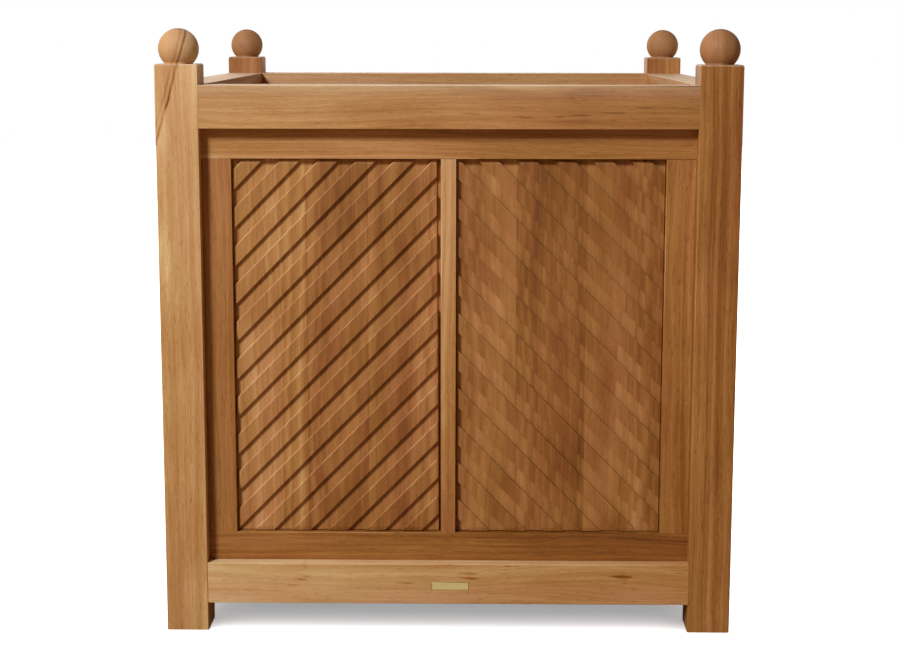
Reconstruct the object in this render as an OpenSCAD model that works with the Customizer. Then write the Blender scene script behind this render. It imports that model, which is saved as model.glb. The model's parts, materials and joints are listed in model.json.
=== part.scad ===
// Square wooden garden planter: four posts with turned balls, framed and carved sides,
// and a loose slatted floor. Millimetres, +Z up, front side towards -Y.
// The origin is on the ground, under the middle of the planter.

/* [Overall] */
// Width over the posts, left to right
planter_w = 610; // [500:5:760]
// Depth over the posts, front to back
planter_d = 610; // [500:5:760]

/* [Posts] */
// Height of a post from the ground to its flat top
post_h = 610; // [480:5:760]
// Side of the square post
post_w = 45; // [45:1:70]
// Chamfer round the flat top of a post
post_chamfer = 1.5; // [0.5:0.5:4]
// Diameter of the ball turned on a post
ball_d = 42.4; // [34:0.2:56]
// Height of the middle of the ball above the flat top
ball_rise = 15.6; // [10:0.2:18]

/* [Rails] */
// Thickness of every rail, measured from the outer face of the posts
rail_t = 45; // [32:1:45]
// Height of a top rail
top_rail_h = 45; // [36:1:80]
// Drop from the flat top of the posts to the top rails
top_rail_drop = 21.5; // [8:0.5:50]
// Height of a bottom rail
bottom_rail_h = 44.5; // [40:0.5:80]
// Clear height under the bottom rails
foot_h = 31; // [10:1:90]
// Length of the tenon on each end of a rail
tenon_l = 15; // [8:1:15]
// Thickness of the tenons
tenon_t = 12; // [8:1:13]
// Shoulder above and below each tenon
tenon_shoulder = 8; // [5:1:12]

/* [Side frames] */
// Set back of the side frames from the outer face of the posts
frame_setback = 15; // [6:1:18]
// Thickness of the side frames
frame_t = 20; // [19:1:24]
// Width of the upright next to each post
stile_w = 31; // [24:1:60]
// Height of the top member of a side frame
frame_top_h = 32; // [24:1:60]
// Height of the bottom member of a side frame
frame_bottom_h = 31; // [24:1:60]
// Width of the upright between the two panels
mullion_w = 16; // [14:1:50]

/* [Panels] */
// Set back of the panel face from the face of its frame
panel_setback = 4.3; // [2:0.1:6]
// Thickness of a panel
panel_t = 12; // [11:0.5:13]
// Thickness of the tongue round a panel and of the stub tenons
tongue_t = 6; // [4:0.5:7]
// Depth of the groove that holds a panel
groove_depth = 5; // [4:0.5:6]
// Room left for the wood to move at the upper and side edges of a panel
panel_play = 1; // [0.5:0.1:2]
// Open joint between the carved field and its frame
field_gap = 1; // [1:0.1:3]
// Width of the bevel round the carved field
field_bevel = 4; // [2:0.5:8]
// Fall of that bevel towards the frame
bevel_fall = 1; // [0.5:0.1:2]

/* [Carving] */
// Slope of the carved strips
strip_angle = 45.6; // [30:0.2:60]
// Spacing of the strips, square across them
strip_pitch = 28.65; // [20:0.05:50]
// Width of a raised strip
strip_w = 15; // [10:0.5:18]
// Depth from a raised strip to the ground beside it
strip_relief = 4.2; // [1:0.1:5]
// Shift of the strips of a left panel from its middle, towards the upper corner by the stile
strip_shift_left = 3.2; // [-14:0.1:14]
// Shift of the strips of a right panel from its middle, towards the upper corner by the stile
strip_shift_right = -0.3; // [-14:0.1:14]
// Width of the open joint at the head of the front left panel, where it has shrunk
shrink_gap = 4.7; // [2:0.1:6]
// Width of that joint at the foot of the panel
shrink_gap_foot = 2.3; // [1.5:0.1:4]
// Length of the foot part of the joint, where it is open into the groove
shrink_length = 235; // [50:5:300]
// Wood left behind that part
shrink_web = 1.5; // [1:0.5:3]

/* [Floor] */
// Thickness of the floor slats
slat_t = 15; // [12:1:20]
// Drainage gap between the slats
slat_gap = 12; // [5:0.5:20]
// Clearance between the loose floor and the posts
floor_clear = 3; // [1:0.5:6]
// Drop from the top of the bottom rails to the floor
floor_drop = 2.5; // [0:0.5:6]
// Width of the two battens under the slats
batten_w = 30; // [24:1:50]
// Thickness of the battens
batten_t = 15; // [10:1:18]
// Spacing of the battens, middle to middle
batten_spacing = 260; // [120:5:360]
// Set in of the batten ends from the edge of the floor
batten_inset = 12; // [5:1:30]
// Height of the cleats that carry the floor
cleat_h = 20; // [14:1:26]
// Width of the slat end that rests on a cleat
cleat_bearing = 17; // [10:1:30]
// Gap between a cleat end and the plane of the posts' inner faces
cleat_end_gap = 1; // [0.5:0.5:5]

/* [Fastenings] */
// Diameter of the frame dowels
dowel_d = 8; // [6:0.5:9]
// Length of the frame dowels
dowel_l = 30; // [20:1:34]
// Set in of the stile dowels from the stile ends
stile_dowel_inset = 60; // [30:5:150]
// Set in of the rail dowels from the ends of the frame
rail_dowel_inset = 80; // [30:5:200]
// Shank diameter of the screws
screw_d = 4; // [3:0.5:5]
// Head diameter of the screws
head_d = 8; // [7:0.5:9]
// Height of the countersunk head
head_h = 2.4; // [2:0.1:4]
// How far a floor screw reaches into its slat
floor_screw_bite = 10; // [5:1:11]
// How far a cleat screw reaches into its rail
cleat_screw_bite = 20; // [12:1:28]
// Set in of the outer cleat screws from the cleat ends
cleat_screw_inset = 60; // [20:5:150]
// Spacing of the two screws where a slat crosses a batten
screw_spacing = 40; // [20:2:50]
// Clearance all round a tenon, tongue, dowel or screw
joint_clear = 0.15; // [0.1:0.05:0.3]

/* [Plate] */
// Width of the bare brass plate
plate_w = 40; // [20:1:120]
// Height of the plate
plate_h = 8.6; // [6:0.2:20]
// Thickness of the plate, let in flush
plate_t = 1; // [0.6:0.1:2]
// Shift of the plate from the middle of the front
plate_shift = 2.5; // [-100:0.5:100]
// Height of the middle of the plate above the bottom of the rail
plate_rise = 19.9; // [12:0.1:25]

/* [Hidden] */

// Sides in order, counted anticlockwise seen from above
FRONT = 0;
RIGHT = 1;
BACK = 2;
LEFT = 3;

$fn = 64;
cut = 1; // how far a cutting shape runs past the face it cuts
drive_w = 4.2; // cross recess in a screw head
drive_t = 1;
drive_depth = 1.2;
slat_count = 6;

// Wood and brass, as seen
post_colour = "#bd8851";
rail_colour = "#b98250";
frame_colour = "#a97645";
panel_colour = "#96602f";
floor_colour = "#a87a48";
dowel_colour = "#d2ab78";
brass_colour = "#c0a468";
steel_colour = "#b8b8b4";

// Levels above the ground
bottom_rail_top = foot_h + bottom_rail_h;
top_rail_top = post_h - top_rail_drop;
top_rail_bottom = top_rail_top - top_rail_h;
opening_bottom = bottom_rail_top + frame_bottom_h;
opening_top = top_rail_bottom - frame_top_h;
opening_h = opening_top - opening_bottom;
floor_top = bottom_rail_top - floor_drop;
slat_bottom = floor_top - slat_t;
batten_bottom = slat_bottom - batten_t;

// Depths behind the face of a side frame
ground_depth = panel_setback + strip_relief;
panel_back = panel_setback + panel_t;
tongue_front = panel_back - tongue_t;

// Depths behind the outer face of the posts
groove_front = frame_setback + tongue_front - joint_clear;
groove_back = frame_setback + panel_back + joint_clear;
dowel_line = frame_setback + frame_t / 2;

// Loose floor and its cleats
floor_half_w = planter_w / 2 - post_w - floor_clear;
floor_half_d = planter_d / 2 - post_w - floor_clear;
slat_w = (2 * floor_half_d - (slat_count - 1) * slat_gap) / slat_count;
cleat_face = planter_w / 2 - rail_t;
cleat_w = cleat_face - floor_half_w + cleat_bearing;
cleat_half_l = planter_d / 2 - post_w - cleat_end_gap;
cleat_mid = slat_bottom - cleat_h / 2;
floor_screw_l = batten_t + floor_screw_bite;
cleat_screw_l = cleat_w + cleat_screw_bite;

// Clear width between the posts of a side, and the distance from the middle to its outer face
function side_span(side) = (side % 2 == 0 ? planter_w : planter_d) - 2 * post_w;
function side_reach(side) = (side % 2 == 0 ? planter_d : planter_w) / 2;
function opening_w(side) = (side_span(side) - 2 * stile_w - mullion_w) / 2;
function slat_middle(i) = -floor_half_d + slat_w / 2 + (i - 1) * (slat_w + slat_gap);
function rail_dowels(side) = [
    -side_span(side) / 2 + rail_dowel_inset, 0, side_span(side) / 2 - rail_dowel_inset];
stile_dowels = [opening_bottom + stile_dowel_inset, opening_top - stile_dowel_inset];
cleat_screw_places = [-cleat_half_l + cleat_screw_inset, 0, cleat_half_l - cleat_screw_inset];

// Turns what is drawn for the front side to another side
module on_side(side) {
    rotate(90 * side)
        children();
}

// A box given by its two corners
module box(low, high) {
    translate(low)
        cube(high - low);
}

// ---- Posts ----

// Mortise in the inner +X face of a front left post, for a rail between two levels
module post_mortise(bottom, top) {
    side = tenon_t / 2 + joint_clear;
    middle = -post_w / 2 + rail_t / 2;
    box([post_w / 2 - tenon_l - joint_clear, middle - side, bottom + tenon_shoulder - joint_clear],
        [post_w / 2 + cut, middle + side, top - tenon_shoulder + joint_clear]);
}

// Bores in the inner +X face for the dowels of the stile
module post_dowel_bores() {
    for (level = stile_dowels)
        translate([post_w / 2 - dowel_l / 2 - joint_clear, dowel_line - post_w / 2, level])
            rotate([0, 90, 0])
                cylinder(d = dowel_d + 2 * joint_clear, h = dowel_l);
}

// Mortises and bores for the rails and frame of one side
module post_joints() {
    post_mortise(foot_h, bottom_rail_top);
    post_mortise(top_rail_bottom, top_rail_top);
    post_dowel_bores();
}

// One post with its ball, standing on the origin, with its inner faces towards +X and +Y
module post() {
    color(post_colour)
        difference() {
            union() {
                translate([-post_w / 2, -post_w / 2, 0])
                    cube([post_w, post_w, post_h]);
                difference() {
                    translate([0, 0, post_h + ball_rise])
                        sphere(d = ball_d);
                    translate([-ball_d, -ball_d, post_h - cut - ball_d])
                        cube([2 * ball_d, 2 * ball_d, ball_d]);
                }
            }
            for (turn = [0 : 90 : 270])
                rotate(turn)
                    translate([post_w / 2, 0, post_h])
                        rotate([0, 45, 0])
                            cube([post_chamfer * sqrt(2), post_w + 2 * cut, post_chamfer * sqrt(2)],
                                 center = true);
            post_joints();
            // the second side is the first one mirrored about the post's diagonal
            rotate(90)
                mirror([0, 1, 0])
                    post_joints();
        }
}

// The four posts, counted anticlockwise from the front left one
module corner_post(corner) {
    along_x = corner == 0 || corner == 3 ? -1 : 1;
    along_y = corner < 2 ? -1 : 1;
    translate([along_x * (planter_w - post_w) / 2, along_y * (planter_d - post_w) / 2, 0])
        rotate(90 * corner)
            post();
}

// ---- Rails ----

// A rail with its two tenons, drawn as the front one
module rail_blank(side, bottom, height) {
    span = side_span(side);
    reach = side_reach(side);
    middle = -reach + rail_t / 2;
    box([-span / 2, -reach, bottom], [span / 2, -reach + rail_t, bottom + height]);
    box([-span / 2 - tenon_l, middle - tenon_t / 2, bottom + tenon_shoulder],
        [span / 2 + tenon_l, middle + tenon_t / 2, bottom + height - tenon_shoulder]);
}

// Upright bores for the dowels that hold a frame member to its rail
module rail_dowel_bores(side, joint_level) {
    for (place = rail_dowels(side))
        translate([place, -side_reach(side) + dowel_line, joint_level])
            cylinder(d = dowel_d + 2 * joint_clear, h = dowel_l + 2 * joint_clear, center = true);
}

module top_rail(side) {
    color(rail_colour)
        on_side(side)
            difference() {
                rail_blank(side, top_rail_bottom, top_rail_h);
                rail_dowel_bores(side, top_rail_bottom);
            }
}

module bottom_rail(side) {
    color(rail_colour)
        difference() {
            on_side(side)
                difference() {
                    rail_blank(side, foot_h, bottom_rail_h);
                    rail_dowel_bores(side, bottom_rail_top);
                    if (side == FRONT)
                        plate_shape(joint_clear, cut);
                }
            if (side == LEFT || side == RIGHT)
                cleat_screw_set(side, joint_clear);
        }
}

// ---- Side frames ----

// Groove along an edge, as a box between two corners given as [across, level]
module frame_groove(side, low, high) {
    reach = side_reach(side);
    box([low[0], -reach + groove_front, low[1]], [high[0], -reach + groove_back, high[1]]);
}

// A frame member as a box between two corners given as [across, level]
module frame_bar(side, low, high) {
    face = -side_reach(side) + frame_setback;
    box([low[0], face, low[1]], [high[0], face + frame_t, high[1]]);
}

// Stub tenons on both ends of an upright, which fill the grooves of the top and bottom members
module stub_tenons(side, left, right) {
    face = -side_reach(side) + frame_setback;
    box([left, face + tongue_front, opening_bottom - groove_depth + joint_clear],
        [right, face + panel_back, opening_top + groove_depth - joint_clear]);
}

module frame_top(side) {
    half = side_span(side) / 2;
    color(frame_colour)
        on_side(side)
            difference() {
                frame_bar(side, [-half, opening_top], [half, top_rail_bottom]);
                frame_groove(side, [-half - cut, opening_top - cut], [half + cut, opening_top + groove_depth]);
                rail_dowel_bores(side, top_rail_bottom);
            }
}

module frame_bottom(side) {
    half = side_span(side) / 2;
    color(frame_colour)
        on_side(side)
            difference() {
                frame_bar(side, [-half, bottom_rail_top], [half, opening_bottom]);
                frame_groove(side, [-half - cut, opening_bottom - groove_depth],
                             [half + cut, opening_bottom + cut]);
                rail_dowel_bores(side, bottom_rail_top);
            }
}

// A stile beside a post, drawn for the left hand of the side; hand is -1 on the left and 1 on the right
module stile(side, hand) {
    outer = -side_span(side) / 2;
    inner = outer + stile_w;
    color(frame_colour)
        on_side(side)
            mirror_if(hand > 0)
                difference() {
                    union() {
                        frame_bar(side, [outer, opening_bottom], [inner, opening_top]);
                        stub_tenons(side, outer, inner - groove_depth);
                    }
                    frame_groove(side, [inner - groove_depth, opening_bottom - cut - groove_depth],
                                 [inner + cut, opening_top + cut + groove_depth]);
                    for (level = stile_dowels)
                        translate([outer - cut, -side_reach(side) + dowel_line, level])
                            rotate([0, 90, 0])
                                cylinder(d = dowel_d + 2 * joint_clear,
                                         h = dowel_l / 2 + joint_clear + cut);
                }
}

module mullion(side) {
    half = mullion_w / 2;
    color(frame_colour)
        on_side(side)
            difference() {
                union() {
                    frame_bar(side, [-half, opening_bottom], [half, opening_top]);
                    stub_tenons(side, -half + groove_depth, half - groove_depth);
                }
                for (hand = [-1, 1])
                    mirror_if(hand > 0)
                        frame_groove(side, [-half - cut, opening_bottom - cut],
                                     [-half + groove_depth, opening_top + cut]);
            }
}

// Mirrors left to right only when asked
module mirror_if(wanted) {
    if (wanted)
        mirror([1, 0, 0])
            children();
    else
        children();
}

// ---- Carved panels ----

// Cuts between the raised strips of a panel opening, centred on the origin of the panel face.
// The strips climb to the right; depth runs along +Y.
module strip_grounds(width, height, shift) {
    reach = (width + height) / 2;
    first = -ceil(reach / strip_pitch);
    for (i = [first : -first])
        rotate([0, -strip_angle, 0])
            translate([-reach, -cut, shift + i * strip_pitch + strip_w / 2])
                cube([2 * reach, strip_relief + cut, strip_pitch - strip_w]);
}

// Bevel along the left edge of a carved field of the given size
module field_bevel_cut(width, height) {
    slope = field_bevel / bevel_fall;
    edge = -width / 2;
    translate([0, 0, -height / 2 - cut])
        linear_extrude(height + 2 * cut)
            polygon([[edge - cut, -cut], [edge + field_bevel + slope * cut, -cut],
                     [edge - cut, bevel_fall + cut / slope]]);
}

// A panel with its face on Y = 0 and its middle on the origin, and the strips climbing to the right
module panel_blank(width, height, shift) {
    tongue_half = width / 2 + groove_depth - panel_play;
    tongue_bottom = -height / 2 - groove_depth + joint_clear;
    tongue_top = height / 2 + groove_depth - panel_play;
    field_w = width - 2 * field_gap;
    field_h = height - 2 * field_gap;
    difference() {
        union() {
            box([-tongue_half, tongue_front - panel_setback, tongue_bottom],
                [tongue_half, panel_t, tongue_top]);
            box([-field_w / 2, 0, -field_h / 2], [field_w / 2, panel_t, field_h / 2]);
        }
        strip_grounds(width, height, shift);
        for (hand = [-1, 1])
            mirror_if(hand > 0)
                field_bevel_cut(field_w, field_h);
        for (turn = [90, -90])
            rotate([0, turn, 0])
                field_bevel_cut(field_h, field_w);
    }
}

// Open joint between a shrunken left panel and the mullion: a wedge down to the tongue, and at its foot
// a narrow part that goes on into the groove
module shrink_joint(face) {
    edge = -mullion_w / 2;
    tongue_level = face + tongue_front - panel_setback;
    translate([0, tongue_level, 0])
        rotate([90, 0, 0])
            linear_extrude(tongue_level - face + cut)
                polygon([[edge - shrink_gap, opening_top], [edge + cut, opening_top],
                         [edge + cut, opening_bottom], [edge - shrink_gap_foot, opening_bottom]]);
    box([edge - shrink_gap_foot, face - cut, opening_bottom - groove_depth - cut],
        [edge + groove_depth, face + panel_t - shrink_web, opening_bottom + shrink_length]);
}

// Hand is -1 for the panel left of the mullion and 1 for the one on its right
module panel(side, hand, shift, shrunk = false) {
    width = opening_w(side);
    middle = (mullion_w + width) / 2;
    face = -side_reach(side) + frame_setback + panel_setback;
    color(panel_colour)
        on_side(side)
            mirror_if(hand > 0)
                difference() {
                    translate([-middle, face, (opening_bottom + opening_top) / 2])
                        panel_blank(width, opening_h, shift);
                    if (shrunk)
                        shrink_joint(face);
                }
}

// ---- Fastenings of the side frames ----

module dowels(side) {
    half = side_span(side) / 2;
    line = -side_reach(side) + dowel_line;
    color(dowel_colour)
        on_side(side) {
            for (joint_level = [top_rail_bottom, bottom_rail_top], place = rail_dowels(side))
                translate([place, line, joint_level])
                    cylinder(d = dowel_d, h = dowel_l, center = true);
            for (edge = [-half, half], level = stile_dowels)
                translate([edge, line, level])
                    rotate([0, 90, 0])
                        cylinder(d = dowel_d, h = dowel_l, center = true);
        }
}

// A countersunk screw, or its hole when room is given, with its head at the origin and its tip up +Z
module screw(length, room = 0) {
    difference() {
        union() {
            translate([0, 0, -(room > 0 ? cut : 0)])
                cylinder(d = screw_d + 2 * room, h = length + room + (room > 0 ? cut : 0));
            cylinder(d1 = head_d + 2 * room, d2 = screw_d + 2 * room, h = head_h);
            if (room > 0)
                translate([0, 0, -cut])
                    cylinder(d = head_d + 2 * room, h = cut);
        }
        if (room == 0)
            for (turn = [0, 90])
                rotate(turn)
                    cube([drive_w, drive_t, 2 * drive_depth], center = true);
    }
}

// ---- Loose floor ----

// The cleat screws of one side, or their holes when room is given
module cleat_screw_set(side, room = 0) {
    outward = side == LEFT ? -1 : 1;
    for (place = cleat_screw_places)
        translate([outward * (cleat_face - cleat_w), place, cleat_mid])
            rotate([0, outward * 90, 0])
                screw(cleat_screw_l, room);
}

module cleat(side) {
    outward = side == LEFT ? -1 : 1;
    inner = cleat_face - cleat_w;
    color(floor_colour)
        difference() {
            translate([outward * (cleat_face + inner) / 2, 0, cleat_mid])
                cube([cleat_w, 2 * cleat_half_l, cleat_h], center = true);
            cleat_screw_set(side, joint_clear);
        }
}

module cleat_screws() {
    color(steel_colour)
        for (side = [LEFT, RIGHT])
            cleat_screw_set(side);
}

// Screws that come up through one batten into one slat, or their holes when room is given
module crossing_screws(hand, i, room = 0) {
    for (step = [-0.5, 0.5])
        translate([hand * batten_spacing / 2, slat_middle(i) + step * screw_spacing, batten_bottom])
            screw(floor_screw_l, room);
}

module floor_slat(i) {
    color(floor_colour)
        difference() {
            box([-floor_half_w, slat_middle(i) - slat_w / 2, slat_bottom],
                [floor_half_w, slat_middle(i) + slat_w / 2, floor_top]);
            for (hand = [-1, 1])
                crossing_screws(hand, i, joint_clear);
        }
}

module batten(hand) {
    half_l = floor_half_d - batten_inset;
    middle = hand * batten_spacing / 2;
    color(floor_colour)
        difference() {
            box([middle - batten_w / 2, -half_l, batten_bottom], [middle + batten_w / 2, half_l, slat_bottom]);
            for (i = [1 : slat_count])
                crossing_screws(hand, i, joint_clear);
        }
}

module floor_screws() {
    color(steel_colour)
        for (hand = [-1, 1], i = [1 : slat_count])
            crossing_screws(hand, i);
}

// ---- Plate ----

// The plate let into the front rail; room widens it all round and proud lifts it off the face
module plate_shape(room, proud) {
    face = -side_reach(FRONT);
    middle = foot_h + plate_rise;
    box([plate_shift - plate_w / 2 - room, face - proud, middle - plate_h / 2 - room],
        [plate_shift + plate_w / 2 + room, face + plate_t, middle + plate_h / 2 + room]);
}

module name_plate() {
    color(brass_colour)
        plate_shape(0, 0);
}

corner_post(0);  // post_front_left
corner_post(1);  // post_front_right
corner_post(2);  // post_back_right
corner_post(3);  // post_back_left

top_rail(FRONT);  // top_rail_front
top_rail(RIGHT);  // top_rail_right
top_rail(BACK);  // top_rail_back
top_rail(LEFT);  // top_rail_left

bottom_rail(FRONT);  // bottom_rail_front
bottom_rail(RIGHT);  // bottom_rail_right
bottom_rail(BACK);  // bottom_rail_back
bottom_rail(LEFT);  // bottom_rail_left

frame_top(FRONT);  // frame_top_front
frame_top(RIGHT);  // frame_top_right
frame_top(BACK);  // frame_top_back
frame_top(LEFT);  // frame_top_left

frame_bottom(FRONT);  // frame_bottom_front
frame_bottom(RIGHT);  // frame_bottom_right
frame_bottom(BACK);  // frame_bottom_back
frame_bottom(LEFT);  // frame_bottom_left

stile(FRONT, -1);  // left_stile_front
stile(RIGHT, -1);  // left_stile_right
stile(BACK, -1);  // left_stile_back
stile(LEFT, -1);  // left_stile_left

stile(FRONT, 1);  // right_stile_front
stile(RIGHT, 1);  // right_stile_right
stile(BACK, 1);  // right_stile_back
stile(LEFT, 1);  // right_stile_left

mullion(FRONT);  // mullion_front
mullion(RIGHT);  // mullion_right
mullion(BACK);  // mullion_back
mullion(LEFT);  // mullion_left

panel(FRONT, -1, strip_shift_left, shrunk = true);  // left_panel_front
panel(RIGHT, -1, strip_shift_left);  // left_panel_right
panel(BACK, -1, strip_shift_left);  // left_panel_back
panel(LEFT, -1, strip_shift_left);  // left_panel_left

panel(FRONT, 1, strip_shift_right);  // right_panel_front
panel(RIGHT, 1, strip_shift_right);  // right_panel_right
panel(BACK, 1, strip_shift_right);  // right_panel_back
panel(LEFT, 1, strip_shift_right);  // right_panel_left

dowels(FRONT);  // dowels_front
dowels(RIGHT);  // dowels_right
dowels(BACK);  // dowels_back
dowels(LEFT);  // dowels_left

cleat(LEFT);  // left_cleat
cleat(RIGHT);  // right_cleat
cleat_screws();

floor_slat(1);  // floor_slat_1
floor_slat(2);  // floor_slat_2
floor_slat(3);  // floor_slat_3
floor_slat(4);  // floor_slat_4
floor_slat(5);  // floor_slat_5
floor_slat(6);  // floor_slat_6

batten(-1);  // left_batten
batten(1);  // right_batten
floor_screws();

name_plate();
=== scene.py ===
import json
import math
import random

import bmesh
import bpy
from mathutils import Matrix, Vector


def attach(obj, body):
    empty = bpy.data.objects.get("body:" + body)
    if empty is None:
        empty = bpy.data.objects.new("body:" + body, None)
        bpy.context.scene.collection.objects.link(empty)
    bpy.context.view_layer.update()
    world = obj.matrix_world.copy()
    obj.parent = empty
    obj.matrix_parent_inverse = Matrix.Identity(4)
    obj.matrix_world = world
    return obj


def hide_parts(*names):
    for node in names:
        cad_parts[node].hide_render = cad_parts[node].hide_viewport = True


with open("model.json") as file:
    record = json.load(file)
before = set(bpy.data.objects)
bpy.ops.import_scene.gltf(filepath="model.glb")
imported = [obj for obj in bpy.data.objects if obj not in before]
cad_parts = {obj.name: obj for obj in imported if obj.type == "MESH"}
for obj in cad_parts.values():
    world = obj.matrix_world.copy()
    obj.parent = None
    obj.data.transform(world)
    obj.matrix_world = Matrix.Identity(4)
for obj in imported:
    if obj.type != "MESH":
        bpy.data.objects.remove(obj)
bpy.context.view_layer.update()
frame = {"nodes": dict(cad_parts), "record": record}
scene = bpy.context.scene
scene.view_settings.view_transform = "Standard"
mm = 0.001      # in metres, which Blender takes
metre = 1000    # in mm
across, depth, up = 0, 1, 2     # axes of the front side, to which every side is turned while it is made
sides = ["front", "right", "back", "left"]      # anticlockwise from above, a quarter turn apart
onePoint = 1e-6         # in metres: points closer than this are one
onFace = 1e-5           # in metres: a point closer than this to a face lies on it
onCut = 1e-7            # in metres: a point closer than this to a cut lies in it
oneFace = 0.5           # in degrees: faces that bend less than this are one
looksAlong = 0.9        # how much of a face's normal lies along an axis if the face looks that way,
flatTo = 0.99           # if it lies flat to it,
leansTo = 0.3           # if it leans towards it
squareTo = 0.1          # and at most if it stands square to it
noiseSpan = (0.3, 0.7)  # nearly all of a noise lies between these
smoothStep = {"interpolation_type": "SMOOTHSTEP"}
colourA, colourB, mixedColour = 6, 7, 2     # sockets of a Mix node that mixes colours
bodyOf = {node: body for body, nodes in frame["record"]["behaviour"]["bodies"].items() for node in nodes}
chance = random.Random(41)


def linear(hexColour):
    # an sRGB hex colour as the linear values that shaders take
    channels = [int(hexColour[i:i + 2], 16) / 255 for i in (1, 3, 5)]
    return [c / 12.92 if c <= 0.04045 else ((c + 0.055) / 1.055) ** 2.4 for c in channels] + [1.0]


def addNode(tree, kind, values=None, links=None, **settings):
    # values go by socket, or in a row from socket 1 on, which for MapRange are from where to where and
    # onto what; a link comes from a socket, or from a node's first output
    node = tree.nodes.new("ShaderNode" + kind)
    for name, value in settings.items():
        setattr(node, name, value)
    values = values or {}
    pairs = values.items() if isinstance(values, dict) else enumerate(values, 1)
    for socket, value in pairs:
        node.inputs[socket].default_value = value
    for socket, source in (links or {}).items():
        output = source.outputs[0] if isinstance(source, bpy.types.Node) else source
        tree.links.new(output, node.inputs[socket])
    return node


def newMaterial(name):
    material = bpy.data.materials.new(name)
    material.use_nodes = True
    material.node_tree.nodes.clear()
    return material


# The camera stands where the photograph's perspective puts it
viewpoint = {
    "place": (24.9, -2136.4, 641.8),
    "turnLeft": 0.718,      # degrees
    "tiltDown": 9.268,
    "roll": 0.09,
    "lens": 70.289,
    "sensor": 36,
    "shift": -0.01102,      # the photograph was cropped a little off its middle
}


def makeCamera():
    data = bpy.data.cameras.new("camera")
    data.sensor_width = viewpoint["sensor"]
    data.lens = viewpoint["lens"]
    data.shift_y = viewpoint["shift"]
    camera = bpy.data.objects.new("camera", data)
    scene.collection.objects.link(camera)
    turn = Matrix.Rotation(math.radians(viewpoint["turnLeft"]), 4, "Z")
    tilt = Matrix.Rotation(math.radians(90 - viewpoint["tiltDown"]), 4, "X")
    roll = Matrix.Rotation(math.radians(viewpoint["roll"]), 4, "Z")
    camera.matrix_world = Matrix.Translation(Vector(viewpoint["place"]) * mm) @ turn @ tilt @ roll
    scene.camera = camera


# Soft studio light: one softbox high on the left, a weak one low behind on the right, and a room
# whose left side throws back a warm light
studio = {
    "middle": (0, -200, 320),           # what the softboxes are turned to
    "keyFrom": (-0.68, -1.0, 0.865),    # as the shadows of the rails and posts show
    "keyDistance": 3600,
    "keySize": 760,
    "keyPower": 120,            # watts
    "keyColour": "#e7f6ff",
    "fillFrom": (0.75, 0.8, 0.0),
    "fillDistance": 2200,
    "fillSize": 1200,
    "fillPower": 26,
    "fillColour": "#ffffff",
    "ambient": 0.11,            # the room's strength on the right, and how much more it has on the left
    "ambientLeft": 0.7,
    "ambientColour": "#ffdcb4",
    "backdrop": "#ffffff",
    "sheenFront": 0.02,         # what gloss mirrors in front and behind, and its share on the right
    "sheenBehind": 1.8,
    "sheenRight": 0.15,
    "sheenDepth": (-0.1, 0.5),  # where it goes over from front to behind, and from the middle to the
    "sheenAside": (0.0, 0.35),  # right, of directions that run from -1 to 1
    "sheenColour": "#fffaf2",
    "floorSize": 16000,
    "floorSunTilt": 24,         # degrees, towards the front
    "floorSunAngle": 150,       # degrees across, so its shadow has no edge
    "floorSun": 7.5,
    "floorColour": "#f4f4f4",
    "floorGlow": 0.285,
    "floorGlowColour": "#f6faff",
    "floorBounce": "#6c604b",   # what the floor throws back on the object
}


def linkLight(lamp, floor, state):
    # INCLUDE lights the floor alone, EXCLUDE everything but the floor
    receivers = bpy.data.collections.new(lamp.name + " floor")
    receivers.objects.link(floor)
    lamp.light_linking.receiver_collection = receivers
    for item in receivers.collection_objects:
        item.light_linking.link_state = state


def makeLamp(kind, floor):
    # a round softbox that lights everything but the floor
    data = bpy.data.lights.new(kind + " softbox", "AREA")
    data.shape = "DISK"
    data.size = studio[kind + "Size"] * mm
    data.energy = studio[kind + "Power"]
    data.color = linear(studio[kind + "Colour"])[:3]
    lamp = bpy.data.objects.new(kind + " softbox", data)
    scene.collection.objects.link(lamp)
    direction = Vector(studio[kind + "From"]).normalized()
    place = (Vector(studio["middle"]) + direction * studio[kind + "Distance"]) * mm
    lamp.matrix_world = Matrix.Translation(place) @ direction.to_track_quat("Z", "Y").to_matrix().to_4x4()
    lamp.visible_glossy = kind == "key"     # gloss mirrors only the high softbox
    linkLight(lamp, floor, "EXCLUDE")


def makeRoom():
    # the camera sees white, gloss mirrors a bright wall behind, and the rest is warm light from the left
    world = bpy.data.worlds.new("white studio")
    scene.world = world
    world.use_nodes = True
    tree = world.node_tree
    tree.nodes.clear()
    direction = addNode(tree, "TexCoord").outputs["Generated"]
    parts = addNode(tree, "SeparateXYZ", links={0: direction}).outputs
    strongest = studio["ambient"] + studio["ambientLeft"]
    warmth = addNode(tree, "MapRange", (0, -1, studio["ambient"], strongest), {0: parts["X"]})
    warm = addNode(tree, "Background", {"Color": linear(studio["ambientColour"])}, {"Strength": warmth})
    strengths = (studio["sheenFront"], studio["sheenBehind"])
    mirrored = addNode(tree, "MapRange", (*studio["sheenDepth"], *strengths), {0: parts["Y"]},
                       **smoothStep)
    kept = addNode(tree, "MapRange", (*studio["sheenAside"], 1, studio["sheenRight"]),
                   {0: parts["X"]}, **smoothStep)
    mirrored = addNode(tree, "Math", links={0: mirrored, 1: kept}, operation="MULTIPLY")
    sheen = addNode(tree, "Background", {"Color": linear(studio["sheenColour"])}, {"Strength": mirrored})
    backdrop = addNode(tree, "Background", {"Color": linear(studio["backdrop"])})
    rays = addNode(tree, "LightPath").outputs
    unseen = addNode(tree, "MixShader", links={0: rays["Is Glossy Ray"], 1: warm, 2: sheen})
    every = addNode(tree, "MixShader", links={0: rays["Is Camera Ray"], 1: unseen, 2: backdrop})
    addNode(tree, "OutputWorld", links={"Surface": every})


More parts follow.
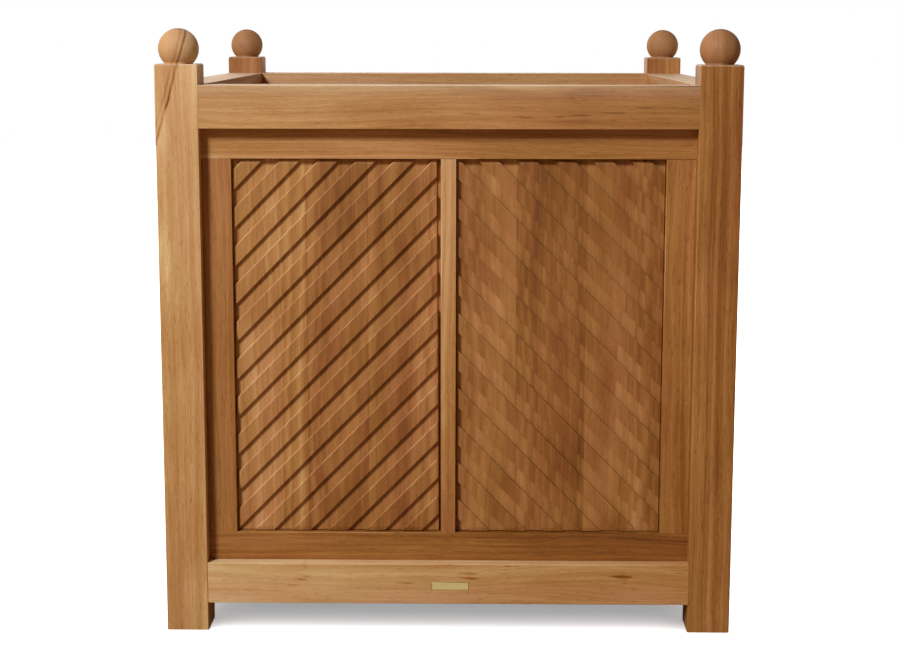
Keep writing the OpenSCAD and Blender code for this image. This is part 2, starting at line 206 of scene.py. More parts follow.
def makeStudio():
    mesh = bmesh.new()
    bmesh.ops.create_grid(mesh, x_segments=1, y_segments=1, size=studio["floorSize"] / 2 * mm)
    data = bpy.data.meshes.new("studio_floor")
    mesh.to_mesh(data)
    mesh.free()
    floor = bpy.data.objects.new("studio_floor", data)
    scene.collection.objects.link(floor)

    # matt white paper: it shows white but for the shadow on it, and throws back a soft grey light
    paper = newMaterial("matt white backdrop paper")
    tree = paper.node_tree
    shown = addNode(tree, "BsdfDiffuse", {"Color": linear(studio["floorColour"])})
    glow = addNode(tree, "Emission", {"Color": linear(studio["floorGlowColour"]),
                                      "Strength": studio["floorGlow"]})
    bright = addNode(tree, "AddShader", links={0: shown, 1: glow})
    plain = addNode(tree, "BsdfDiffuse", {"Color": linear(studio["floorBounce"])})
    seen = addNode(tree, "LightPath").outputs["Is Camera Ray"]
    mixed = addNode(tree, "MixShader", links={0: seen, 1: plain, 2: bright})
    addNode(tree, "OutputMaterial", links={"Surface": mixed})
    data.materials.append(paper)

    makeRoom()
    makeLamp("key", floor)
    makeLamp("fill", floor)

    # the floor has its own wide light, so that it shows only the soft shadow under the planter
    data = bpy.data.lights.new("floor light", "SUN")
    data.angle = math.radians(studio["floorSunAngle"])
    data.energy = studio["floorSun"]
    sun = bpy.data.objects.new("floor light", data)
    scene.collection.objects.link(sun)
    sun.matrix_world = Matrix.Rotation(math.radians(studio["floorSunTilt"]), 4, "X")
    linkLight(sun, floor, "INCLUDE")


makeCamera()
makeStudio()
print("camera and studio made")

# Teak, planed, sanded and oiled: a dull golden brown with darker growth lines, broad soft bands,
# fine short pores and a low sheen. A board's own tone runs from 0, darkest, to 1, palest.
teakTones = {
    "golden": [(0.0, "#2c0f00"), (0.22, "#612d02"), (0.42, "#8f5316"), (0.62, "#b5783b"),
               (0.82, "#d3a067"), (1.0, "#eac08c")],
    "rosy": [(0.0, "#301003"), (0.22, "#682e08"), (0.42, "#96531e"), (0.62, "#bb7946"),
             (0.82, "#d89d70"), (1.0, "#eec49c")],
}
# Sizes are across and along the grain. Pores and fibres are really 0.2 to 0.3 wide, and are drawn
# as wide as the picture can show.
teakFigure = {
    "wander": (70, 330, 16),        # how wide, how long and how far the grain swings
    "rings": (8, 0.26, 0.74, -0.075, 0.075),    # spacing, then what the noise is mapped from and to
    "ringRoughness": 0.65,          # how much of a ring's noise is fine lines
    "layers": [     # across, along, detail, from low, from high, to low, to high
        ("bands", 26, 480, 1, *noiseSpan, -0.05, 0.05),
        ("fibres", 2.0, 70, 2, *noiseSpan, -0.05, 0.05),
        ("pores", 1.0, 11, 1, 0.60, 0.74, 0, -0.12),
        ("flecks", 1.1, 6, 1, 0.62, 0.76, 0, 0.08),
        ("clouds", 50, 120, 1, *noiseSpan, -0.04, 0.04),
    ],
    "rosyClouds": (34, 260, 0.35, 0.65, -0.45, 0.45),   # across, along, from and to
    "wearAndHighlightLift": 0.1,                # how much paler a worn arris is, as wear and as painted highlight,
    "wearAndHighlightPatches": (0.35, 0.6, 0.45, 1),    # less so in dark clouds,
    "wearPolish": 0.06,             # and how much smoother
    "roughness": (0.6, 0.48),       # in dark and in pale fibres
    "refraction": 1.5,              # of the oil film
    "specular": 0.45,
    "relief": [("fibres", 0.2, 0.8, 0, 0.5), ("pores", 0.60, 0.74, 0, -0.5)],
    "bump": 0.35,
    "bumpDepth": 0.25,
}
# End grain drinks more oil and stays darker. The balls are turned and sanded, so they show less figure
# and are duller. A pale mix is painted sheen on the balls and on the upper faces above a level, and
# makes the sides of the posts paler towards their upper end.
finish = {
    "endGrainDrop": 0.12,
    "ballFrom": 610.6,              # above this height there are only the balls,
    "ballRoundFrom": 612,           # and from here on they are round
    "ballFigure": 0.5,
    "ballDull": 0.12,
    "paleMix": "#d4c6b0",
    "paintedSheenBall": 0.08,
    "paintedSheenTop": 0.25,
    "paintedSheenTopFrom": 550,
    "paleSide": (540, 610, 0.2),  # from this height, to this height, by so much
}
knotShape = {
    "lumps": 0.9,       # how many to half its length
    "ragged": (0.25, 0.75, -0.45, 0.45),    # how far the lumps move its rim in and out
    "core": 0.1,        # as dark as it gets within this share
}


def veinTone(tree, place, vein):
    # a flat vein through the wood, as the distance from a plane
    normal = Vector(vein["normal"]).normalized()
    along = addNode(tree, "VectorMath", [normal * metre], {0: place}, operation="DOT_PRODUCT")
    wobble = addNode(tree, "TexNoise", {"Scale": 1 / (vein["wobbleLength"] * mm), "Detail": 2},
                     {"Vector": place})
    swung = addNode(tree, "MapRange", (*vein["wobbleSpan"], -vein["wobble"], vein["wobble"]), {0: wobble})
    distance = addNode(tree, "Math", links={0: along.outputs["Value"], 1: swung}, operation="ADD")
    distance = addNode(tree, "Math", [-normal.dot(Vector(vein["through"]))], {0: distance}, operation="ADD")
    tone = addNode(tree, "MapRange", (-vein["edge"], vein["edge"], 0, vein["beyond"]), {0: distance},
                   **smoothStep)
    strength = addNode(tree, "MapRange", vein["strength"], {0: wobble})
    for shift, width, dark in vein["lines"]:
        off = addNode(tree, "Math", [shift], {0: distance}, operation="SUBTRACT")
        off = addNode(tree, "Math", links={0: off}, operation="ABSOLUTE")
        line = addNode(tree, "MapRange", (0, width, -dark, 0), {0: off}, **smoothStep)
        line = addNode(tree, "Math", links={0: line, 1: strength}, operation="MULTIPLY")
        tone = addNode(tree, "Math", links={0: tone, 1: line}, operation="ADD")
    return tone


def knotTone(tree, place, knot):
    # a small pin knot on a face of the front side, given by its middle, half its length and height
    # and its darkness, which is below zero where the wood is paler
    x, z, wide, high, dark = knot
    local = addNode(tree, "VectorMath", [(metre / wide, 0, metre / high), (-x / wide, 0, -z / high)],
                    {0: place}, operation="MULTIPLY_ADD")
    lumps = addNode(tree, "TexNoise", {"Scale": knotShape["lumps"], "Detail": 1}, {"Vector": local})
    ragged = addNode(tree, "MapRange", knotShape["ragged"], {0: lumps})
    reach = addNode(tree, "VectorMath", links={0: local}, operation="LENGTH").outputs["Value"]
    reach = addNode(tree, "Math", links={0: reach, 1: ragged}, operation="ADD")
    return addNode(tree, "MapRange", (knotShape["core"], 1, -dark, 0), {0: reach}, **smoothStep)


def teakMaterial(name, changes=None, vein=None, knots=()):
    look = {**teakFigure, **(changes or {})}
    material = newMaterial(name)
    tree = material.node_tree
    stored = {title: addNode(tree, "Attribute", attribute_name=title).outputs["Fac"]
              for title in ("tone", "rosy", "easedFace", "contrast", "sheenAndPaling")}
    grain = addNode(tree, "Attribute", attribute_name="grain").outputs["Vector"]
    place = addNode(tree, "TexCoord").outputs["Object"]

    # the grain swings a little to and fro along the board
    wide, long, swing = look["wander"]
    spot = addNode(tree, "VectorMath", [(1 / wide, 1 / wide, 1 / long)], {0: grain}, operation="MULTIPLY")
    drift = addNode(tree, "TexNoise", {"Scale": 1, "Detail": 1}, {"Vector": spot}).outputs["Color"]
    centred = addNode(tree, "VectorMath", [(0.5, 0.5, 0.5)], {0: drift}, operation="SUBTRACT")
    warped = addNode(tree, "VectorMath", [(2 * swing, 2 * swing, 0)], {0: centred, 2: grain},
                     operation="MULTIPLY_ADD")

    # growth lines go round the heart of the log, and the layers run along it
    spacing, *span = look["rings"]
    spot = addNode(tree, "VectorMath", [(1 / spacing, 1 / spacing, 0)], {0: warped}, operation="MULTIPLY")
    radius = addNode(tree, "VectorMath", links={0: spot}, operation="LENGTH").outputs["Value"]
    rings = addNode(tree, "TexNoise", {"Scale": 1, "Detail": 2, "Roughness": look["ringRoughness"]},
                    {"W": radius}, noise_dimensions="1D")
    figure = addNode(tree, "MapRange", span, {0: rings})
    noise = {}
    for title, wide, long, detail, *span in look["layers"]:
        spot = addNode(tree, "VectorMath", [(1 / wide, 1 / wide, 1 / long)], {0: warped},
                       operation="MULTIPLY")
        noise[title] = addNode(tree, "TexNoise", {"Scale": 1, "Detail": detail}, {"Vector": spot})
        layer = addNode(tree, "MapRange", span, {0: noise[title]})
        figure = addNode(tree, "Math", links={0: figure, 1: layer}, operation="ADD")
    figure = addNode(tree, "Math", links={0: figure, 1: stored["contrast"]}, operation="MULTIPLY")

    # the tone of the board, its figure, the wear with its painted highlight and the marks in the wood add
    # up to a tone
    wornAndLit = addNode(tree, "Math", [look["wearAndHighlightLift"]], {0: stored["easedFace"]}, operation="MULTIPLY")
    patchy = addNode(tree, "MapRange", look["wearAndHighlightPatches"], {0: noise["clouds"]})
    wornAndLit = addNode(tree, "Math", links={0: wornAndLit, 1: patchy}, operation="MULTIPLY")
    marks = [veinTone(tree, place, vein)] if vein else []
    marks += [knotTone(tree, place, knot) for knot in knots]
    tone = stored["tone"]
    for part in (figure, wornAndLit, *marks):
        tone = addNode(tree, "Math", links={0: tone, 1: part}, operation="ADD")
    ramps = []
    for colours in teakTones.values():
        ramp = addNode(tree, "ValToRGB", links={0: tone})
        stops = ramp.color_ramp.elements
        while len(stops) < len(colours):
            stops.new(0.5)
        for stop, (position, colour) in zip(stops, colours):
            stop.position = position
            stop.color = linear(colour)
        ramps.append(ramp.outputs["Color"])

    wide, long, *span = look["rosyClouds"]
    spot = addNode(tree, "VectorMath", [(1 / wide, 1 / wide, 1 / long)], {0: grain}, operation="MULTIPLY")
    clouds = addNode(tree, "TexNoise", {"Scale": 1, "Detail": 1}, {"Vector": spot})
    blush = addNode(tree, "MapRange", span, {0: clouds})
    blush = addNode(tree, "Math", links={0: stored["rosy"], 1: blush}, operation="ADD")
    colour = addNode(tree, "Mix", links={"Factor": blush, colourA: ramps[0], colourB: ramps[1]},
                     data_type="RGBA").outputs[mixedColour]
    # the pale mix: painted sheen on the balls and upper faces, and paler post sides and upper edge of the
    # upper front rail
    colour = addNode(tree, "Mix", {colourB: linear(finish["paleMix"])},
                     {"Factor": stored["sheenAndPaling"], colourA: colour},
                     data_type="RGBA").outputs[mixedColour]

    rough = addNode(tree, "MapRange", (*noiseSpan, *look["roughness"]), {0: noise["fibres"]})
    polish = addNode(tree, "MapRange", (0, 1, 0, -look["wearPolish"]), {0: stored["easedFace"]})
    dull = addNode(tree, "MapRange", (finish["ballFigure"], 1, finish["ballDull"], 0),
                   {0: stored["contrast"]})
    for part in (polish, dull):
        rough = addNode(tree, "Math", links={0: rough, 1: part}, operation="ADD")
    fibres, pores = [addNode(tree, "MapRange", span, {0: noise[title]}) for title, *span in look["relief"]]
    relief = addNode(tree, "Math", links={0: fibres, 1: pores}, operation="ADD")
    bump = addNode(tree, "Bump", {"Strength": look["bump"], "Distance": look["bumpDepth"] * mm},
                   {"Height": relief})
    oil = {"IOR": look["refraction"], "Specular IOR Level": look["specular"]}
    shader = addNode(tree, "BsdfPrincipled", oil,
                     {"Base Color": colour, "Roughness": rough, "Normal": bump})
    addNode(tree, "OutputMaterial", links={"Surface": shader})
    return material


def cleanCopy(node):
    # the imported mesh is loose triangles, so a copy is merged and its flat faces are joined up
    mesh = bmesh.new()
    mesh.from_mesh(frame["nodes"][node].data)
    bmesh.ops.remove_doubles(mesh, verts=mesh.verts, dist=onePoint)
    bmesh.ops.dissolve_limit(mesh, angle_limit=math.radians(oneFace), verts=mesh.verts, edges=mesh.edges)
    return mesh


def turnMesh(mesh, side):
    # turns a piece of the front side to its own side, or back again with a negative number
    turn = Matrix.Rotation(side * math.pi / 2, 3, "Z")
    bmesh.ops.rotate(mesh, cent=(0, 0, 0), matrix=turn, verts=mesh.verts)


def extent(mesh):
    low = [min(v.co[i] for v in mesh.verts) for i in range(3)]
    high = [max(v.co[i] for v in mesh.verts) for i in range(3)]
    return low, high


def outerArrises(mesh, along, ends=False):
    # the long outer edges of a stick, and with ends those round its two ends
    low, high = extent(mesh)
    found = []
    for edge in mesh.edges:
        a, b = (v.co for v in edge.verts)
        fixed = [i for i in range(3) if abs(a[i] - b[i]) < onePoint
                 and min(abs(a[i] - low[i]), abs(a[i] - high[i])) < onFace]
        if len(fixed) == 2 and (ends or along not in fixed):
            found.append(edge)
    return found


def easedFaceLayer(mesh):
    return mesh.faces.layers.float.get("easedFace") or mesh.faces.layers.float.new("easedFace")


def ease(mesh, edges, width, segments=3, clamp=True, wornAndLit=1.0):
    # rounds edges as sandpaper does, and marks the rounded faces: teak paints them paler as wear and
    # painted highlight, brass darker as painted shade
    easedFace = easedFaceLayer(mesh)
    made = bmesh.ops.bevel(mesh, geom=edges, affect="EDGES", offset=width * mm, offset_type="OFFSET",
                           segments=segments, profile=0.5, material=-1, clamp_overlap=clamp)
    for face in made["faces"]:
        face[easedFace] = wornAndLit
        face.smooth = True


def cutAt(mesh, axis, place):
    # an edge loop, so that what the corners store can change or change its slope there
    normal = Vector([float(i == axis) for i in range(3)])
    bmesh.ops.bisect_plane(mesh, geom=mesh.verts[:] + mesh.edges[:] + mesh.faces[:], dist=onCut,
                           plane_co=normal * place, plane_no=normal)


def between(values, share):
    # a value between evenly spaced ones
    spot = min(max(share, 0), 1) * (len(values) - 1)
    step = min(int(spot), len(values) - 2)
    return values[step] + (values[step + 1] - values[step]) * (spot - step)


def grainBoards(mesh, along, boards, lift=None, fade=None):
    # Stores for every corner where it lies in the log, how pale, rosy and figured it is, and its share of
    # the pale mix, which is painted sheen on the balls and upper faces.
    # The tones of a board are evenly spaced along it.
    grain = mesh.loops.layers.float_vector.new("grain")
    tone, rosy, contrast, sheenAndPaling = [mesh.loops.layers.float.new(title)
                                      for title in ("tone", "rosy", "contrast", "sheenAndPaling")]
    easedFace = easedFaceLayer(mesh)
    low, high = extent(mesh)
    steps = len(boards[0]["tones"]) - 1
    for step in range(1, steps):
        cutAt(mesh, along, low[along] + (high[along] - low[along]) * step / steps)
    mesh.normal_update()
    others = [i for i in range(3) if i != along]
    middle = [(low[i] + high[i]) / 2 for i in others]
    for face in mesh.faces:
        aside = face.calc_center_median()[others[0]] / mm
        own = [b for b in boards if b["from"] <= aside or b is boards[0]][-1]
        isEnd = abs(face.normal[along]) > looksAlong and not face[easedFace]
        for loop in face.loops:
            co = loop.vert.co
            spot = [(co[i] - m) / mm + p for i, m, p in zip(others, middle, own["pith"])]
            loop[grain] = Vector((spot[0], spot[1], co[along] / mm + own["start"]))
            value = between(own["tones"], (co[along] - low[along]) / (high[along] - low[along]))
            if isEnd:
                value -= finish["endGrainDrop"]
            if lift:
                value += lift(face, co)
            loop[tone] = value
            loop[rosy] = own["rosy"]
            # the balls get painted sheen from the pale mix
            if co.z > finish["ballFrom"] * mm:
                loop[contrast] = finish["ballFigure"]
                loop[sheenAndPaling] = finish["paintedSheenBall"]
                continue
            loop[contrast] = 1.0
            # upper faces high up get painted sheen from the pale mix, and the post sides grow paler towards
            # their upper end
            if face.normal.z > leansTo and co.z > finish["paintedSheenTopFrom"] * mm:
                loop[sheenAndPaling] = finish["paintedSheenTop"]
            elif fade:
                loop[sheenAndPaling] = fade(face, co)


# Where in its log a piece was sawn
logs = {
    "aside": (50, 120),     # how far from the heart, where a piece doesn't say
    "along": 3000,          # how far up or down the log at most
}


def sawBoard(tones, rosy, pith=None, fromPlace=-math.inf):
    # pith is where the middle of the piece lies from the heart of the log, and fromPlace is where the
    # board starts in a piece that is glued up from several
    if pith is None:
        angle = chance.uniform(0, 2 * math.pi)
        reach = chance.uniform(*logs["aside"])
        pith = (reach * math.cos(angle), reach * math.sin(angle))
    return {"from": fromPlace, "tones": tones, "rosy": rosy, "pith": pith,
            "start": chance.uniform(-logs["along"], logs["along"])}


def makePiece(name, mesh, material, node):
    mesh.normal_update()
    data = bpy.data.meshes.new(name)
    mesh.to_mesh(data)
    mesh.free()
    if "custom_normal" in data.attributes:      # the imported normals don't fit the eased edges
        data.attributes.remove(data.attributes["custom_normal"])
    data.materials.clear()
    data.materials.append(material)
    piece = bpy.data.objects.new(name, data)
    scene.collection.objects.link(piece)
    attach(piece, bodyOf[node])
    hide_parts(node)


# Posts: square, with their arrises rounded by hand and a ball turned from the same wood
postLook = {
    "arris": 0.9,
    "boards": {     # tones from the foot to the ball, blush, and place from the heart of the log
        # the front right post's darker tones are partly its wood and partly painted light that dims towards
        # the right
        "front_left": ((0.71, 0.715, 0.725, 0.78, 0.83), 0.1, (75, 55)),
        "front_right": ((0.54, 0.52, 0.49, 0.49), 0.2, (110, 18)),
        "back_right": ((0.56, 0.57), 0.3, (-60, 80)),
        "back_left": ((0.50, 0.535), 0.3, (50, -75)),
    },
    # the dark vein that runs down from the ball of the front left post to its outer edge
    "vein": {
        "through": (-280.6, -305, 610),
        "normal": (-1.0, -0.25, 0.29),
        "wobble": 1.2,
        "wobbleLength": 26,
        "wobbleSpan": (0.2, 0.8),
        "edge": 3.0,
        "beyond": -0.08,        # the wood outside it is a little darker
        "strength": (0.35, 0.6, 0.35, 1),
        "lines": [(0, 1.9, 0.45), (5.0, 2.2, 0.12)],    # shift, half the width, darkness
    },
    "pale": [(-297, 400, 8, 85, -0.13), (-297, 530, 8, 60, -0.1)],     # paler patches of that post
    "paleFigure": {"rings": (13, 0.26, 0.74, -0.065, 0.065)},
}


def makePosts():
    # the pale one is sawn on the quarter, which gives wide straight lines
    pale = teakMaterial("teak pale quarter planed and oiled", postLook["paleFigure"],
                        vein=postLook["vein"], knots=postLook["pale"])
    plain = teakMaterial("teak square planed and oiled")
    bottom, top, most = finish["paleSide"]

    def fade(face, co):
        share = (co.z / mm - bottom) / (top - bottom)
        return between((0, most), share) if abs(face.normal.x) > looksAlong else 0

    for corner, (tones, rosy, pith) in postLook["boards"].items():
        node = "post_" + corner
        mesh = cleanCopy(node)
        arrises = outerArrises(mesh, up)
        for face in mesh.faces:
            if face.calc_center_median().z > finish["ballRoundFrom"] * mm:
                face.smooth = True
        ease(mesh, arrises, postLook["arris"])
        cutAt(mesh, up, bottom * mm)
        grainBoards(mesh, up, [sawBoard(tones, rosy, pith)], None, fade)
        makePiece(node + "_oiled", mesh, pale if corner == "front_left" else plain, node)


# Rails: eased so much that the upper front one draws a bright line
railLook = {
    "arris": {"top_rail_front": 0.9},
    "otherArris": 0.5,
    "boards": {     # tones from the low to the high end, blush, and place from the heart of the log
        # the front rails' tones fall from left to right, partly wood and partly painted light that dims
        # towards the right, and the lower one is paler partly as painted light
        "top_rail_front": ((0.68, 0.67, 0.635, 0.53, 0.49), 0.1, (12, 95)),
        "bottom_rail_front": ((0.84, 0.655), 0.3, (30, 70)),
        "top_rail_back": ((0.70, 0.78), 0.4, (40, 60)),
        "top_rail_left": ((0.72, 0.72), 0.4, (-35, 70)),
        "top_rail_right": ((0.70, 0.70), 0.4, (60, -45)),
    },
    "tones": (0.58, 0.70),      # between which the others are, and their blush
    "blush": (0.2, 0.6),
    "figure": {"rings": (11, 0.26, 0.74, -0.055, 0.055)},
    "paintedTopLight": (0.2, 0.11),     # painted light from above: how much paler their upper faces are, from the low to the high end
    # the pale mix on the face of the upper front one, which makes it paler towards its upper edge: at its
    # upper edge, so far below it, and at its foot
    "fade": {"edge": 0.22, "drop": 14, "halfway": 0.04, "foot": 0},
    # pin knots, short streaks and pale patches: place across and up, half the length and height,
    # and darkness
    "knots": {
        "bottom_rail_front": [
            (-159, 57.5, 9, 2.2, 0.22), (-167, 51, 8, 2, 0.14), (-153, 61, 6, 2.5, 0.14),
            (-155, 73, 4, 6, 0.07), (188, 62, 16, 4, 0.3), (23, 65, 14, 2.5, 0.2),
            (24, 59.5, 11, 3, 0.25), (64.6, 73.6, 7, 1.6, 0.2), (74, 74, 5, 1.5, 0.16),
            (62, 65, 8, 2, 0.1), (-46.5, 54, 13, 1.5, 0.2),
        ],
        "top_rail_front": [
            (136, 558, 18, 1.4, 0.24), (79, 555.8, 13, 2, 0.16), (115, 556.8, 8, 1.5, 0.2),
            (23, 559.3, 13, 1.3, 0.14), (171, 560.5, 14, 1.4, 0.2), (203, 566, 12, 1.4, 0.2),
            (95, 585, 60, 8, -0.2), (175, 586, 60, 7, -0.16), (240, 585, 45, 7, -0.1),
        ],
    },
}


def makeRails():
    plain = teakMaterial("teak rail planed and oiled", railLook["figure"])
    # dark pin knots, where thin branches were, in wood finished like the rest
    knotty = {node: teakMaterial("teak knotty planed and oiled " + node.replace("_", " "),
                                 railLook["figure"], knots=knots)
              for node, knots in railLook["knots"].items()}
    paleMix = railLook["fade"]
    for kind in ("top_rail", "bottom_rail"):
        for side, name in enumerate(sides):
            node = kind + "_" + name
            isShown = node == "top_rail_front"
            mesh = cleanCopy(node)
            turnMesh(mesh, -side)
            ease(mesh, outerArrises(mesh, across), railLook["arris"].get(node, railLook["otherArris"]))
            # drawn for every rail, so that a change to one leaves the others as they are
            tone = chance.uniform(*railLook["tones"])
            blush = chance.uniform(*railLook["blush"])
            tones, rosy, pith = railLook["boards"].get(node, ((tone, tone), blush, None))
            low, high = extent(mesh)
            level = high[up] - paleMix["drop"] * mm
            if isShown:
                cutAt(mesh, up, level)

            # painted light from above: the upper faces are paler
            def lift(face, co):
                share = (co.x - low[across]) / (high[across] - low[across])
                return between(railLook["paintedTopLight"], share) if face.normal.z > looksAlong else 0

            def fade(face, co):
                if not isShown or face.normal.y > -looksAlong:
                    return 0
                if co.z > level:
                    return between((paleMix["halfway"], paleMix["edge"]), (co.z - level) / (high[up] - level))
                return between((paleMix["foot"], paleMix["halfway"]), (co.z - low[up]) / (level - low[up]))

            grainBoards(mesh, across, [sawBoard(tones, rosy, pith)], lift, fade)
            turnMesh(mesh, side)
            makePiece(node + "_oiled", mesh, knotty.get(node, plain), node)


# Side frames: crisp square sticks, only just eased, so that their joints show as fine lines
frameLook = {
    "arris": 0.6,
    "front": {      # tones from the low to the high end, blush, and place from the heart of the log
        # the tones of the upper and lower sticks fall from left to right, partly wood and partly painted
        # light that dims towards the right
        "frame_top": ((0.62, 0.54), 0.1, (20, 80)),
        "frame_bottom": ((0.505, 0.41), 0.2, (25, 90)),
        "left_stile": ((0.475, 0.535), 0.45, (65, 40)),
        "right_stile": ((0.445, 0.595), 0.3, (-70, 35)),
        "mullion": ((0.48, 0.785), 0.6, (60, 30)),
    },
    "tones": (0.45, 0.62),      # between which the others are, and their blush
    "blush": (0.1, 0.6),
}


def makeFrames():
    teak = teakMaterial("teak frame planed and oiled")
    for kind, frontBoard in frameLook["front"].items():
        along = across if kind.startswith("frame") else up
        for side, name in enumerate(sides):
            node = kind + "_" + name
            mesh = cleanCopy(node)
            turnMesh(mesh, -side)
            ease(mesh, outerArrises(mesh, along), frameLook["arris"], 2)
            if name == "front":
                own = sawBoard(*frontBoard)
            else:
                tone = chance.uniform(*frameLook["tones"])
                own = sawBoard((tone, tone), chance.uniform(*frameLook["blush"]))
            grainBoards(mesh, along, [own])
            turnMesh(mesh, side)
            makePiece(node + "_oiled", mesh, teak, node)


# Carved panels: three boards glued edge to edge, with the strips cut across their upright grain
panelLook = {
    "arris": {1: 0.9, -1: 0.25},    # along the upper side of a strip and along its lower side
    "shortest": 4,                  # edges shorter than this stay sharp
    "jointWidth": 0.7,
    "jointDrop": 0.09,
    "groundLift": {"left": 0.065, "right": 0.052},
    "groundDepth": 2.0,     # deeper than this behind the raised strips counts as ground
    "wornAndLit": {"left": 1.0, "right": 0.4},    # how worn the arrises of a panel are, and how much painted highlight they get, which is more where the strips face the light
    # boards of the front panels: where each starts, tones at the foot and the head, blush, and how far
    # to the right its figure is shifted
    "boards": {
        "left": [(-230, (0.59, 0.60), 0.1, 0), (-151.1, (0.465, 0.46), 0.4, 0),
                 (-85.8, (0.465, 0.51), 0.3, 0)],
        "right": [(0, (0.50, 0.515), 0.3, 0), (72.6, (0.42, 0.385), 0.25, 8),
                  (146.3, (0.52, 0.465), 0.25, 0)],
    },
    "aside": ((40, 90), (25, 70)),  # how far they lie to either side of the heart, and behind it
    # the others: where they start and stop, their widths, tones from the foot to the head, and blush
    "edges": {"left": (-230, -7), "right": (7, 230)},
    "widths": (52, 88),
    "narrowest": 40,
    "tones": (0.40, 0.54),
    "toneChange": (-0.02, 0.02),
    "blush": (0.1, 0.6),
    "figure": {
        # worn arrises painted paler, which is also the painted highlight along the strips' lit upper edges
        "wearAndHighlightLift": 0.17,
        "roughness": (0.64, 0.58),
        "layers": [
            ("bands", 22, 600, 1, *noiseSpan, -0.06, 0.06),
            ("fibres", 2.6, 110, 2, *noiseSpan, -0.03, 0.03),
            ("pores", 1.0, 11, 1, 0.60, 0.74, 0, -0.08),
            ("flecks", 1.1, 6, 1, 0.62, 0.76, 0, 0.05),
            ("clouds", 34, 80, 1, *noiseSpan, -0.055, 0.055),
        ],
    },
}


def panelBoards(hand, name):
    boards = []
    if name == "front":
        beside, behind = panelLook["aside"]
        for start, tones, rosy, shift in panelLook["boards"][hand]:
            aside = chance.choice((-1, 1)) * chance.uniform(*beside) - shift
            boards.append(sawBoard(tones, rosy, (aside, chance.uniform(*behind)), start))
        return boards
    first, last = panelLook["edges"][hand]
    while first < last - panelLook["narrowest"]:
        tone = chance.uniform(*panelLook["tones"])
        tones = (tone, tone + chance.uniform(*panelLook["toneChange"]))
        boards.append(sawBoard(tones, chance.uniform(*panelLook["blush"]), None, first))
        first += chance.uniform(*panelLook["widths"])
    return boards


def makePanels():
    teak = teakMaterial("teak board carved and oiled", panelLook["figure"])
    halfJoint = panelLook["jointWidth"] / 2
    for hand in ("left", "right"):
        for side, name in enumerate(sides):
            node = hand + "_panel_" + name
            mesh = cleanCopy(node)
            turnMesh(mesh, -side)
            front = min(v.co.y for v in mesh.verts)

            def isRim(edge, way):
                # between the face of a strip and the wall on its upper (1) or lower (-1) side
                faces = edge.link_faces
                onStrip = any(f.normal.y < -flatTo and abs(f.calc_center_median().y - front) < onFace
                              for f in faces)
                onWall = any(abs(f.normal.y) < squareTo and f.normal.z * way > leansTo for f in faces)
                return onStrip and onWall and edge.calc_length() > panelLook["shortest"] * mm

            for way, width in panelLook["arris"].items():
                rims = [e for e in mesh.edges if isRim(e, way)]
                ease(mesh, rims, width, 2, False, panelLook["wornAndLit"][hand])
            boards = panelBoards(hand, name)
            joints = [b["from"] for b in boards[1:]]
            for joint in joints:
                cutAt(mesh, across, (joint - halfJoint) * mm)
                cutAt(mesh, across, (joint + halfJoint) * mm)

            def lift(face, co):
                middle = face.calc_center_median().x / mm
                isGround = co.y > front + panelLook["groundDepth"] * mm
                isJoint = any(abs(middle - joint) < halfJoint for joint in joints)
                lifted = panelLook["groundLift"][hand] if isGround else 0
                return lifted - panelLook["jointDrop"] if isJoint else lifted

            grainBoards(mesh, up, boards, lift)
            turnMesh(mesh, side)
            makePiece(node + "_oiled", mesh, teak, node)


# Loose floor and its cleats: plainer teak, sawn and lightly planed, so it is duller and a bit rough
floorLook = {
    "slats": 6,
    "arris": 1.5,
    "tones": (0.46, 0.66),
    "blush": (0.1, 0.6),
    "figure": {"roughness": (0.8, 0.65), "specular": 0.2, "bump": 0.6},
}


def makeFloor():
    teak = teakMaterial("teak slat sawn and lightly planed", floorLook["figure"])
    sticks = [("floor_slat_" + str(i + 1), across) for i in range(floorLook["slats"])]
    sticks += [(hand + kind, depth) for kind in ("_batten", "_cleat") for hand in ("left", "right")]
    for node, along in sticks:
        mesh = cleanCopy(node)
        ease(mesh, outerArrises(mesh, along, ends=True), floorLook["arris"], 2)
        tone = chance.uniform(*floorLook["tones"])
        grainBoards(mesh, along, [sawBoard((tone, tone), chance.uniform(*floorLook["blush"]))])
        makePiece(node + "_planed", mesh, teak, node)


# Stainless steel: cold formed screws, bright with fine scratches from the driver
steelLook = {
    "scratches": 900,       # to a metre, so 1.1 apart, because finer ones don't show
    "dark": "#a9a9a6",
    "light": "#cfcfcb",
    "roughness": (0.22, 0.4),
}


def steelMaterial():
    material = newMaterial("stainless steel cold formed")
    tree = material.node_tree
    place = addNode(tree, "TexCoord").outputs["Object"]
    scratches = addNode(tree, "TexNoise", {"Scale": steelLook["scratches"], "Detail": 2}, {"Vector": place})
    rough = addNode(tree, "MapRange", (*noiseSpan, *steelLook["roughness"]), {0: scratches})
    ramp = addNode(tree, "ValToRGB", links={0: scratches})
    ramp.color_ramp.elements[0].color = linear(steelLook["dark"])
    ramp.color_ramp.elements[1].color = linear(steelLook["light"])
    shader = addNode(tree, "BsdfPrincipled", {"Metallic": 1.0}, {"Base Color": ramp, "Roughness": rough})
    addNode(tree, "OutputMaterial", links={"Surface": shader})
    return material


# Beech dowels: pale and even, with short brown flecks
beechLook = {
    "flecks": 700,          # to a metre, so 1.4 apart
    "dark": "#b98d5c",
    "light": "#dcba8c",
    "roughness": 0.7,
}


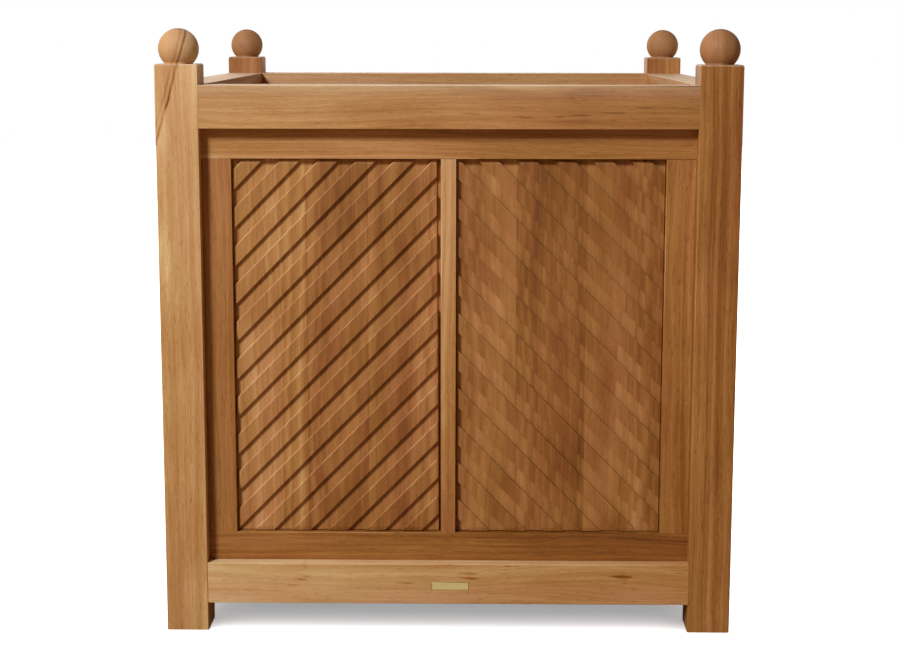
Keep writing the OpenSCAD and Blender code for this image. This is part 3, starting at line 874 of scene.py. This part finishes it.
def beechMaterial():
    material = newMaterial("beech turned")
    tree = material.node_tree
    place = addNode(tree, "TexCoord").outputs["Object"]
    flecks = addNode(tree, "TexNoise", {"Scale": beechLook["flecks"], "Detail": 2}, {"Vector": place})
    ramp = addNode(tree, "ValToRGB", links={0: flecks})
    ramp.color_ramp.elements[0].color = linear(beechLook["dark"])
    ramp.color_ramp.elements[1].color = linear(beechLook["light"])
    shader = addNode(tree, "BsdfPrincipled", {"Roughness": beechLook["roughness"]}, {"Base Color": ramp})
    addNode(tree, "OutputMaterial", links={"Surface": shader})
    return material


def dressFastenings():
    steel = steelMaterial()
    beech = beechMaterial()
    for node, item in frame["nodes"].items():
        if node.startswith("dowels"):
            item.data.materials[0] = beech
        elif node.endswith("screws"):
            item.data.materials[0] = steel


# Rolled brass, brushed along its length and dulled by the air, so that it mirrors little
plateLook = {
    "arris": 0.45,
    "light": "#f6dba0",
    "dark": "#e3c27c",
    "edge": "#b09158",      # painted shade along the eased edge, where the plate sits in its recess
    "metallic": 0.3,
    "roughness": (0.48, 0.34),
    "brush": (60, 1.1),     # how long and how wide a stroke is, which is really finer
}


def brassMaterial():
    material = newMaterial("brass rolled and brushed")
    tree = material.node_tree
    place = addNode(tree, "TexCoord").outputs["Object"]
    long, fine = plateLook["brush"]
    strokes = addNode(tree, "VectorMath", [(metre / long, metre / fine, metre / fine)], {0: place},
                      operation="MULTIPLY")
    brushed = addNode(tree, "TexNoise", {"Scale": 1, "Detail": 3}, {"Vector": strokes})
    rough = addNode(tree, "MapRange", (*noiseSpan, *plateLook["roughness"]), {0: brushed})
    ramp = addNode(tree, "ValToRGB", links={0: brushed})
    ramp.color_ramp.elements[0].color = linear(plateLook["dark"])
    ramp.color_ramp.elements[1].color = linear(plateLook["light"])
    # the eased edge is darkened as painted shade
    edge = addNode(tree, "Attribute", attribute_name="easedFace").outputs["Fac"]
    colour = addNode(tree, "Mix", {colourB: linear(plateLook["edge"])}, {"Factor": edge, colourA: ramp},
                     data_type="RGBA").outputs[mixedColour]
    shader = addNode(tree, "BsdfPrincipled", {"Metallic": plateLook["metallic"]},
                     {"Base Color": colour, "Roughness": rough})
    addNode(tree, "OutputMaterial", links={"Surface": shader})
    return material


def makePlate():
    # every edge is eased but those against the rail
    mesh = cleanCopy("name_plate")
    edges = [e for e in mesh.edges if all(f.normal.y < looksAlong for f in e.link_faces)]
    ease(mesh, edges, plateLook["arris"], 2)
    makePiece("name_plate_bare", mesh, brassMaterial(), "name_plate")


makePosts()
print("posts made")
makeRails()
print("rails made")
makeFrames()
print("side frames made")
makePanels()
print("carved panels made")
makeFloor()
print("floor and cleats made")
makePlate()
dressFastenings()
print("plate and fastenings made")
